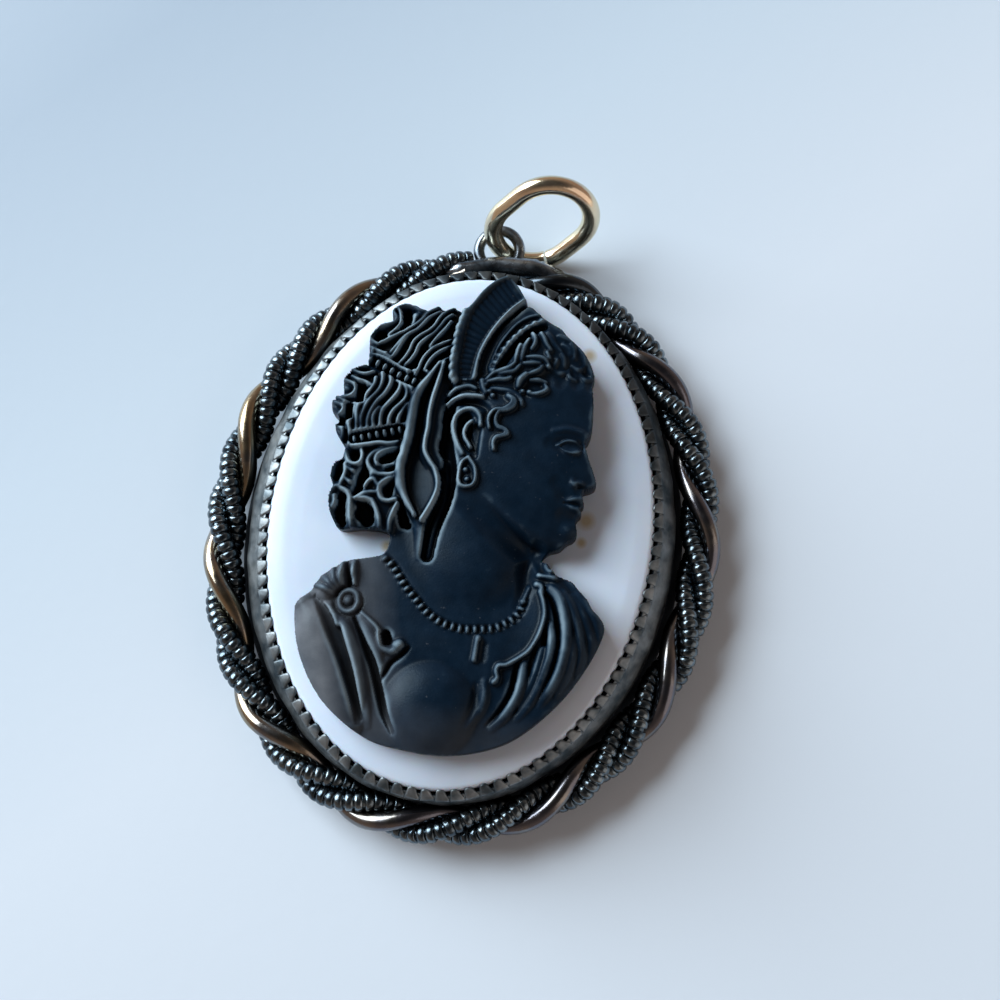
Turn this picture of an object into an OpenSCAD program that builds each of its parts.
// Oval cameo pendant lying on its back: +Z out of the front, +Y towards the hanging ring,
// origin in the middle of the flat back. Millimetres.

/* [Plaque opening] */
// Width of the white oval seen between the teeth
opening_w = 28.8; // [26:0.1:32]
// Length of the white oval seen between the teeth
opening_l = 39.1; // [36:0.1:43]

/* [Setting] */
// Height of the tooth tips above the flat back
rim_h = 5.9; // [5.2:0.1:7]
// Thickness of the sheet metal of wall and teeth
sheet = 0.35; // [0.25:0.05:0.5]
// Thickness of the closed back
back_t = 0.7; // [0.5:0.1:1.2]
// How far the teeth reach in over the plaque
tooth_reach = 0.6; // [0.4:0.05:0.9]
// Spacing of the teeth along the rim
tooth_pitch = 1.06; // [0.9:0.02:1.6]
// How far the wall leans outwards at the sides, from the teeth to the foot
wall_lean = 1.7; // [1.2:0.1:2.2]
// How far the wall leans outwards at the two ends
end_lean = 0.22; // [0.1:0.02:0.5]

/* [Plaque] */
// Clearance between the plaque and the metal round it
seat_gap = 0.08; // [0.04:0.02:0.15]
// Height of the plaque's flat top above the tooth tips
plaque_rise = 0.35; // [0.2:0.05:0.8]

/* [Cameo] */
// Width of the black bust
bust_w = 23.5; // [20:0.1:25]
// Length of the black bust from the tip of the diadem to the lower edge
bust_l = 36.3; // [32:0.1:37.5]
// Height of the relief at its highest
relief_h = 3.7; // [2.5:0.1:4.5]
// Thickness of the glue line under the bust
glue_gap = 0.06; // [0.03:0.01:0.1]

/* [Rope border] */
// Diameter of the plain wire
plain_d = 1.24; // [1:0.02:1.3]
// Diameter of the two wound strands
wound_d = 1.36; // [1.1:0.02:1.42]
// Distance of each strand's middle from the middle of the rope
twist_r = 0.86; // [0.84:0.01:1]
// Clearance between the rope and the wall at the two ends of the pendant
rope_gap = 0.12; // [0.08:0.02:0.4]
// Clearance between the rope and the wall at the sides
side_gap = 0.33; // [0.1:0.01:0.6]
// Clearance between the hanging eye and each end of the rope
seam_gap = 0.2; // [0.1:0.05:0.8]
// Height of the middle of the rope above the back
rope_z = 2.25; // [1.9:0.05:2.6]

/* [Hanging eye] */
// Diameter of the eye ring, measured to the middle of its wire
eye_d = 3.48; // [3.4:0.02:4.2]
// Diameter of the eye ring's wire
eye_wire = 0.74; // [0.5:0.02:0.78]
// How far the middle of the eye stands out from the middle of the rope
eye_out = 1.85; // [1.8:0.05:2.2]

/* [Hanging ring] */
// Diameter of the hanging ring's wire
ring_wire = 1.36; // [1.1:0.02:1.38]
// Radius of the ring's round ends, measured to the middle of its wire
ring_r = 3.3; // [3.2:0.05:4]
// Length of the straight run between the two round ends
ring_run = 1.8; // [1:0.1:2.4]
// Width of the cut where the ring closes
ring_cut = 0.25; // [0.15:0.05:0.4]

/* [Hidden] */

// Half axes of the opening
open_a = opening_w / 2;
open_b = opening_l / 2;
// Half axes of the wall under the teeth
root_a = open_a + tooth_reach;
root_b = open_b + tooth_reach * 0.85;
root_z = rim_h - tooth_reach * 0.9;
// Foot of the wall, which sits lower on the pendant than the opening does
foot_a = root_a + wall_lean;
foot_b = root_b + end_lean;
foot_z = 1.4;
foot_drop = 0.32;
// Rounding of the wall into the back
toe = 0.5;
// Depth of the notches between the teeth, which end just over the wall
notch_in = 0.1;
notch_up = 0.12;
// Middle line of the rope border, laid against the wall at the top
rope_r = twist_r + wound_d / 2;
rope_a = foot_a + side_gap + rope_r;
rope_b = foot_b + rope_gap + rope_r;
// Turns of the twist are set out from the places where the plain wire crests, in degrees round the oval,
// with one crest more before the rope starts and one after it ends
crest_at = [-19.5, 13.5, 44.5, 78.5, 113, 146.5, 184.5, 219, 252, 284.5, 316.5, 355, 388];
strand_sides = 8;
rings_per_turn = 10;
// Evening of steps along an oval, so that equal steps have equal lengths
open_even = 180 / PI * (pow(open_b, 2) - pow(open_a, 2)) / (pow(open_b, 2) + pow(open_a, 2)) / 4;
open_round = PI * (3 * (open_a + open_b) - sqrt((3 * open_a + open_b) * (open_a + 3 * open_b)));
teeth = round(open_round / tooth_pitch);
// The plaque's levels
plaque_z = rim_h + plaque_rise;
bust_z = plaque_z + glue_gap;
// The relief is charted on squared paper, 24 squares wide and 36 squares long
square_x = bust_w / 24;
square_y = bust_l / 36;
// Heights in the relief's tables are tenths of its full height
step_z = relief_h / 10;
// The eye stands at the seam of the rope
eye_x = -0.47;
eye_c = [eye_x, rope_b - foot_drop + eye_out, rope_z - 0.05];
eye_r = eye_d / 2;
seat_r = 0.55;
// The rope starts to the right of the eye and ends to the left of it
seam_half = eye_r + eye_wire / 2 + seam_gap;
rope_start = asin((eye_x + seam_half) / rope_a);
rope_end = 360 + asin((eye_x - seam_half) / rope_a);
// The hanging ring lies threaded on the right of the eye
thread_at = 67.5;
ring_play = 0.2;
ring_side = 0.23;
ring_turn = 9;
ring_tilt = 64;
ring_roll = 46;
ring_reach = ring_run / 2 + ring_r - ring_wire / 2 - eye_wire / 2 - ring_play;
cut_at = 243;

// A point on an oval, t degrees clockwise from its top end
function oval(a, b, t, drop = 0) = [a * sin(t), b * cos(t) - drop];
function oval_out(a, b, t) = unit([sin(t) / a, cos(t) / b]);
function unit(v) = v / norm(v);
function up(p, z) = [p[0], p[1], z];

// Faces between rings of points that have the same count, with both ends closed
function side_faces(rings, n) = [for (k = [0:rings - 2], i = [0:n - 1])
    let (a = k * n + i, b = k * n + (i + 1) % n) each [[a, b, a + n], [b, b + n, a + n]]];
function skin_faces(rings, n) = concat([[for (i = [n - 1:-1:0]) i]], side_faces(rings, n),
    [[for (i = [0:n - 1]) (rings - 1) * n + i]]);
module skin(rings) {
    n = len(rings[0]);
    polyhedron(points = [for (r = rings) each r], faces = skin_faces(len(rings), n), convexity = 8);
}

// One level of the setting, with a point for each tip and each notch of the teeth
function rim_t(i) = let (q = 180 * i / teeth) q + open_even * sin(2 * q);
function level(a, b, z, drop = 0) = [for (i = [0:2 * teeth - 1]) up(oval(a, b, rim_t(i), drop), z)];
function saw(tip, notch) = [for (i = [0:2 * teeth - 1]) let (p = i % 2 == 0 ? tip : notch)
    up(oval(p[0], p[1], rim_t(i)), p[2])];

// Closed back, leaning wall and bent-in teeth, made of one sheet
module collet() {
    skin([
        level(foot_a - toe, foot_b - toe, 0, foot_drop),
        level(foot_a, foot_b, toe, foot_drop),
        level(foot_a, foot_b, foot_z, foot_drop),
        level(root_a, root_b, root_z),
        saw([open_a, open_b, rim_h], [root_a - notch_in, root_b - notch_in, root_z + notch_up]),
        saw([open_a, open_b, rim_h - 0.7 * sheet], [root_a - sheet, root_b - sheet, root_z - notch_in]),
        level(root_a - sheet, root_b - sheet, root_z - sheet),
        level(foot_a - sheet, foot_b - sheet, foot_z, foot_drop),
        level(foot_a - sheet, foot_b - sheet, back_t, foot_drop)
    ]);
}

// Eye ring, soldered at the seam of the rope
module eye() {
    translate(eye_c) rotate_extrude($fn = 64) translate([eye_r, 0]) circle(d = eye_wire, $fn = 24);
}

// Blob of solder that carries the eye, from the wall to the eye's wire
module eye_seat() {
    hull() {
        translate([eye_x, foot_b - foot_drop + seat_r - sheet / 2, rope_z - sheet]) sphere(seat_r, $fn = 16);
        translate(eye_c - [0, eye_r, 0]) sphere(seat_r, $fn = 16);
    }
}

module setting() {
    color("dimgray") {
        collet();
        eye();
        eye_seat();
    }
}

// White plaque: a flat-backed oval with a bevelled edge under the teeth and a flat top
plaque_steps = 60;
function plaque_ring(inset, z) = [for (i = [0:plaque_steps - 1]) let (q = 360 * i / plaque_steps)
    up(oval(root_a - sheet - seat_gap - inset, root_b - sheet - seat_gap - inset,
            q + open_even * sin(2 * q)), z)];
module stone_plaque() {
    under_teeth = rim_h - sheet;
    color("aliceblue") skin([
        plaque_ring(0.1, back_t + seat_gap),
        plaque_ring(0.05, root_z - 2 * sheet),
        plaque_ring(tooth_reach + sheet, under_teeth),
        plaque_ring(tooth_reach + 3 * sheet, rim_h + 0.35 * plaque_rise),
        plaque_ring(tooth_reach + 2, rim_h + 0.8 * plaque_rise),
        plaque_ring(tooth_reach + 3.2, plaque_z)
    ]);
}

// Strand of the rope border, as a tube that turns round the middle line of the rope
function turn_of(t) = 90 + 360 * lookup(t, [for (i = [0:len(crest_at) - 1]) [crest_at[i], i]]);
function strand_at(t, lag) = let (w = turn_of(t) + lag, o = oval_out(rope_a, rope_b, t),
        c = oval(rope_a, rope_b, t, foot_drop))
    [c[0] - twist_r * cos(w) * o[0], c[1] - twist_r * cos(w) * o[1], rope_z + twist_r * sin(w)];
function strand_ring(t, lag, r) = let (c = strand_at(t, lag),
        f = unit(strand_at(t + 0.2, lag) - strand_at(t - 0.2, lag)),
        e = unit(cross(f, [0, 0, 1])), g = cross(e, f))
    [for (i = [0:strand_sides - 1]) let (w = 360 * i / strand_sides) c + r * (cos(w) * e + sin(w) * g)];
module strand(lag, d) {
    steps = ceil(rings_per_turn * (turn_of(rope_end) - turn_of(rope_start)) / 360);
    skin([for (k = [0:steps]) strand_ring(rope_start + (rope_end - rope_start) * k / steps, lag, d / 2)]);
}
module plain_strand() { color("silver") strand(0, plain_d); }
module wound_strand_a() { color("darkslategray") strand(120, wound_d); }
module wound_strand_b() { color("darkslategray") strand(240, wound_d); }

// The relief's tables give x and y in squares of the chart and heights in tenths of the relief
relief_rows = 66;
relief_columns = 36;
edge_h = 3;

// Face in equal thirds from hairline to chin, with brow and foot of the nose at the marks between them
face_top = 11.5;
face_low = -0.4;
face_x = 8.7;
third = (face_top - face_low) / 3;
brow_y = face_top - third;
nose_y = brow_y - third;
// Thirds below the hairline, and thirds out from an upright through the hairline
profile = [[0.35, 0.06], [0.8, 0.08], [1.0, 0.09], [1.14, 0.0], [1.3, 0.04], [1.6, 0.22], [1.86, 0.39],
    [1.95, 0.36], [2.0, 0.16], [2.12, 0.17], [2.22, 0.2], [2.3, 0.1], [2.4, 0.15], [2.52, 0.05], [2.72, 0.12],
    [2.9, 0.07], [3.0, -0.1]];

// Left edge of the bust: y, x
left_edge = [
    // Diadem, then the bunches of hair
    [19.1, 0.2], [17.8, -0.7], [16.3, -1.5], [16.2, -3.4], [16.1, -4.5], [15.9, -6.2], [15.7, -7.2],
    [15.0, -7.6], [14.4, -7.6], [14.0, -8.4], [13.3, -8.9], [12.3, -8.8], [11.5, -8.8], [11.2, -9.0],
    [10.8, -9.7], [10.1, -10.3], [9.4, -10.2], [8.6, -10.7], [7.8, -11.0], [7.0, -10.8], [6.6, -10.3],
    [5.8, -10.5], [5.0, -10.0], [4.3, -9.8], [3.4, -10.2], [2.5, -10.4], [1.8, -10.1], [0.9, -10.3],
    [-0.1, -10.1], [-1.1, -9.6], [-1.6, -8.7], [-1.8, -5.2],
    // Nape, shoulder and lower edge
    [-2.3, -5.2], [-3.1, -5.8], [-3.4, -6.9], [-3.8, -8.1], [-4.5, -9.2], [-5.3, -10.0], [-6.1, -10.2],
    [-6.9, -11.1], [-7.5, -11.5], [-8.5, -11.3], [-10.3, -10.6], [-12.0, -9.7], [-13.9, -8.1],
    [-15.5, -6.0], [-16.5, -3.6], [-17.0, -1.2]
];
// Right edge of the bust: y, x
right_edge = concat(
    // Diadem and hair over the brow
    [[19.1, 1.0], [18.6, 1.4], [17.9, 2.1], [17.1, 2.9], [16.6, 4.4], [15.9, 5.2], [15.2, 6.2],
     [14.5, 7.2], [13.6, 8.0], [12.5, 8.6], [face_top, face_x]],
    [for (m = profile) [face_top - third * m[0], face_x + third * m[1]]],
    // Throat, shoulder and lower edge
    [[-0.8, 7.8], [-1.2, 6.9], [-1.6, 6.3], [-1.9, 6.5], [-2.1, 7.3], [-2.9, 8.7], [-4.3, 10.4],
     [-5.6, 11.7], [-6.6, 12.0], [-8.6, 11.6], [-10.8, 10.8], [-12.7, 9.6], [-14.4, 8.0], [-15.8, 6.0],
     [-16.7, 3.5], [-17.0, 1.0]]);

// Rounded masses: x, y, half width, half length, turn, height of the edge, height of the crown
masses = [
    [0.5, -9.5, 13, 9, 0, 3, 5.8], [-8.4, -11.4, 2.6, 6, 25, 3.4, 5.6], [-0.4, -13.3, 3.7, 3.3, 0, 5.4, 8],
    [1.2, -2.6, 5.2, 7.6, 8, 3.6, 6.8], [3.6, 6.4, 6.6, 7.4, 0, 5, 9], [5.4, 2.2, 4.4, 3.2, 20, 4.4, 7.8],
    [8.6, -8, 4, 7.2, -24, 4.4, 6.6], [-7.5, -6.7, 1.3, 1.2, 0, 6.2, 7.2], [-0.1, 3.6, 0.8, 1.1, 0, 8.2, 9.4],
    [-3.4, 2.4, 1.4, 2.7, 0, 7, 8.2]
];
// Masses of hair, with the lie of their waves: also direction, pitch, sway and length of a wave, depth
hair = [
    [2.6, 12.4, 6.8, 4.2, -22, 5.4, 9, 20, 1.1, 0.3, 3, 1.6],
    [-5.2, 13.2, 4.2, 3.4, 0, 5, 8, 60, 1.15, 0.35, 3.4, 2.2],
    [-7.2, 8.0, 4.4, 3.4, 0, 4.8, 7.8, 78, 1.1, 0.3, 3.4, 2.2],
    [-6.8, 1.8, 4.4, 4.2, 0, 4.4, 7.6, 30, 1.9, 0.7, 3.6, 3]
];
// Raised lines of the carving: each a list of x, y, height, half width
lines = [
    // Crest and rim of the diadem, its two bands and its row of beads
    [[-1.5, 10.4, 8.8, 0.9], [-1.4, 12.3, 8.8, 0.9], [-1.1, 14.0, 8.8, 1.1], [-0.4, 15.8, 8.8, 1.5],
     [0.7, 17.2, 8.8, 1.6], [1.4, 18.2, 8.4, 1.2]],
    [[-0.5, 10.4, 9.8, 0.45], [-0.2, 12.4, 9.8, 0.45], [0.6, 14.3, 9.8, 0.45], [1.8, 15.8, 9.8, 0.45],
     [3.6, 16.8, 9.4, 0.4]],
    [[0.7, 11.2, 9.6, 0.45], [1.2, 12.8, 9.6, 0.45], [2.2, 14.4, 9.6, 0.45], [3.5, 15.5, 9.4, 0.45],
     [4.8, 15.9, 8.6, 0.4]],
    // Beaded bands that part the hair
    [[-8.8, 11.6, 8.6, 0.5], [-7.2, 11.2, 8.8, 0.5], [-5.6, 10.6, 8.8, 0.5], [-4.3, 10.2, 8.6, 0.5]],
    [[-9.6, 5.2, 8.2, 0.5], [-7.8, 5.3, 8.6, 0.5], [-6.2, 5.5, 8.6, 0.5], [-5.1, 5.8, 8.4, 0.5]],
    // Lappets
    [[-2.8, 11.0, 9.4, 0.4], [-3.8, 8.4, 9.2, 0.5], [-4.5, 5.4, 9, 0.5], [-4.5, 2.8, 8.8, 0.45],
     [-3.0, 0.2, 8.2, 0.4]],
    [[-2.6, 11.0, 9.6, 0.4], [-3.1, 8.4, 9.4, 0.5], [-3.4, 5.6, 9.2, 0.5], [-2.2, 3.2, 9, 0.45],
     [-2.9, 0.2, 8.2, 0.4]],
    [[-1.8, 3.0, 7.4, 0.8], [-2.1, 0, 7, 0.7], [-2.3, -3.0, 6.4, 0.5]],
    // Ear
    [[0.5, 8.0, 9.6, 0.4], [-0.3, 8.3, 9.8, 0.4], [-1.1, 7.6, 9.8, 0.4], [-1.1, 6.2, 9.8, 0.4],
     [-0.4, 5.1, 9.6, 0.4]],
    // Brow, eyelid, nostril and mouth
    [[face_x - 2.6, brow_y, 9, 0.6], [face_x - 1.2, brow_y + 0.3, 8.4, 0.6],
     [face_x - 0.2, brow_y - 0.1, 6.8, 0.5]],
    [[face_x - 2.2, brow_y - 1.2, 8.6, 0.4], [face_x - 0.9, brow_y - 1.1, 7.6, 0.4]],
    [[face_x - 0.3, nose_y + 0.5, 7.2, 0.5], [face_x + 0.7, nose_y + 0.6, 6.6, 0.6]],
    [[face_x - 0.9, nose_y - 1.0, 7.4, 0.4], [face_x + 0.3, nose_y - 0.9, 6.4, 0.45]],
    // Necklace and its drop
    [[-5.4, -3.1, 7, 0.4], [-4.4, -3.9, 7.2, 0.4], [-3.2, -5.2, 7.4, 0.4], [-1.8, -6.5, 7.4, 0.4],
     [-0.4, -7.4, 7.4, 0.4], [1.2, -7.8, 7.4, 0.4], [2.8, -7.7, 7.4, 0.4], [4.2, -7.1, 7.4, 0.4],
     [5.4, -6.0, 7.4, 0.4], [6.0, -3.9, 6.8, 0.4]],
    [[2.6, -8.2, 7, 0.4], [2.7, -9.9, 6.8, 0.4]],
    // Strap and knotted end on the left
    [[-7.4, -7.6, 7, 0.6], [-6.2, -10.2, 7.2, 0.6], [-5.2, -13.2, 6.8, 0.6], [-4.6, -15.4, 5.4, 0.6]],
    [[-6.5, -7.8, 7, 0.45], [-5.2, -8.8, 7.4, 0.5], [-4.4, -9.8, 7.4, 0.5], [-3.2, -10.0, 7.4, 0.5],
     [-2.7, -9.4, 7, 0.4]],
    // Hem of the drapery
    [[6.9, -2.6, 7.4, 0.5], [7.2, -5.6, 8, 0.45], [6.6, -8.2, 8, 0.45], [5.8, -9.4, 7.8, 0.45],
     [4.4, -10.0, 7.6, 0.45], [4.2, -11.4, 7.2, 0.4]]
];
// Folds that fan out from a spot: spot x and y, first and last direction, reach, count, height, depth
fans = [
    [7.4, -0.5, 222, 300, 17, 7, 7.6, 2],
    [-7.2, -7.6, 112, 168, 4.2, 4, 5.6, 1.6]
];

// Height of one rounded mass over a point, 0 outside it
function mass_h(p, m) = let (d = p - [m[0], m[1]], u = (d[0] * cos(m[4]) + d[1] * sin(m[4])) / m[2],
    v = (d[1] * cos(m[4]) - d[0] * sin(m[4])) / m[3], q = u * u + v * v)
    q < 1 ? m[5] + (m[6] - m[5]) * sqrt(1 - q) : 0;
function hair_h(p, m) = let (h = mass_h(p, m)) h == 0 ? 0 :
    let (u = p[0] * cos(m[7]) + p[1] * sin(m[7]), v = p[1] * cos(m[7]) - p[0] * sin(m[7]))
    h - m[11] / 2 + m[11] * abs(sin(180 * (v + m[9] * sin(360 * u / m[10])) / m[8]));
// Height of a raised line over a point
function leg_h(p, a, b) = let (d = [b[0] - a[0], b[1] - a[1]], e = p - [a[0], a[1]],
    q = max(0, min(1, (e * d) / (d * d))), w = a[3] + (b[3] - a[3]) * q, r = norm(e - d * q) / w)
    r < 1 ? a[2] + (b[2] - a[2]) * q - 1.6 * pow(r, 4) : 0;
function line_h(p, line) = max([for (k = [1:len(line) - 1]) leg_h(p, line[k - 1], line[k])]);
function fan_h(p, f) = let (d = p - [f[0], f[1]], r = norm(d), w = (atan2(d[1], d[0]) + 360) % 360)
    r > f[4] || w < f[2] || w > f[3] ? 0 :
    f[6] - 2.2 * pow(r / f[4], 2) - f[7] * (1 - abs(sin(180 * f[5] * (w - f[2]) / (f[3] - f[2]))));
function relief_at(p) = max(concat([edge_h], [for (m = masses) mass_h(p, m)], [for (m = hair) hair_h(p, m)],
    [for (f = fans) fan_h(p, f)], [for (r = lines) line_h(p, r)]));

// One row of the relief across the bust, from its left edge to its right
row_top = left_edge[0][0];
row_low = left_edge[len(left_edge) - 1][0];
function row_y(k) = row_top + (row_low - row_top) * k / relief_rows;
function row_x(k, i) = let (a = lookup(row_y(k), left_edge), b = lookup(row_y(k), right_edge))
    a + (b - a) * i / relief_columns;
function raised(p) = [p[0] * square_x, p[1] * square_y, bust_z + min(10, relief_at(p)) * step_z];
function grounded(p) = [p[0] * square_x, p[1] * square_y, bust_z];

// Bust moulded in one piece: the carved face, its cut edge and a flat back
module cameo_bust() {
    n = relief_columns + 1;
    back = n * (relief_rows + 1);
    points = concat(
        [for (k = [0:relief_rows], i = [0:relief_columns]) raised([row_x(k, i), row_y(k)])],
        [for (k = [0:relief_rows], i = [0, relief_columns]) grounded([row_x(k, i), row_y(k)])]);
    faces = concat(
        [for (k = [0:relief_rows - 1], i = [0:relief_columns - 1]) let (a = k * n + i)
            each [[a, a + 1, a + n], [a + 1, a + n + 1, a + n]]],
        [for (k = [0:relief_rows - 1]) let (a = back + 2 * k)
            each [[a, a + 2, a + 1], [a + 1, a + 2, a + 3]]],
        [for (k = [0:relief_rows - 1]) let (a = back + 2 * k, c = k * n)
            each [[a, c, a + 2], [c, c + n, a + 2]]],
        [for (k = [0:relief_rows - 1]) let (a = back + 2 * k + 1, c = k * n + relief_columns)
            each [[a, a + 2, c], [c, a + 2, c + n]]],
        [concat([back + 1], [for (i = [relief_columns:-1:0]) i], [back])],
        [concat([back + 2 * relief_rows], [for (i = [0:relief_columns]) relief_rows * n + i],
            [back + 2 * relief_rows + 1])]);
    color([0.12, 0.12, 0.14]) polyhedron(points = points, faces = faces, convexity = 10);
}

// Split ring in its own frame: two round ends and two straight runs in the XY plane, cut through once
module bent_wire() {
    for (s = [0, 180]) rotate([0, 0, s]) {
        translate([ring_run / 2, 0]) rotate([0, 0, -90]) rotate_extrude(angle = 180, $fn = 96)
            translate([ring_r, 0]) circle(d = ring_wire, $fn = 32);
        translate([-ring_run / 2, ring_r, 0]) rotate([0, 90, 0])
            cylinder(d = ring_wire, h = ring_run, $fn = 32);
    }
}
module hanging_ring() {
    thread = eye_c + eye_r * [sin(thread_at), cos(thread_at), 0];
    color("goldenrod") translate(thread) rotate([0, 0, ring_turn]) rotate([ring_tilt, 0, 0])
        rotate([0, 0, ring_roll]) translate([ring_reach, ring_side, 0]) difference() {
            bent_wire();
            translate([-ring_run / 2, 0]) rotate([0, 0, cut_at]) translate([ring_r, 0])
                cube([2 * ring_wire, ring_cut, 2 * ring_wire], center = true);
        }
}

setting();
stone_plaque();
cameo_bust();
plain_strand();
wound_strand_a();
wound_strand_b();
hanging_ring();
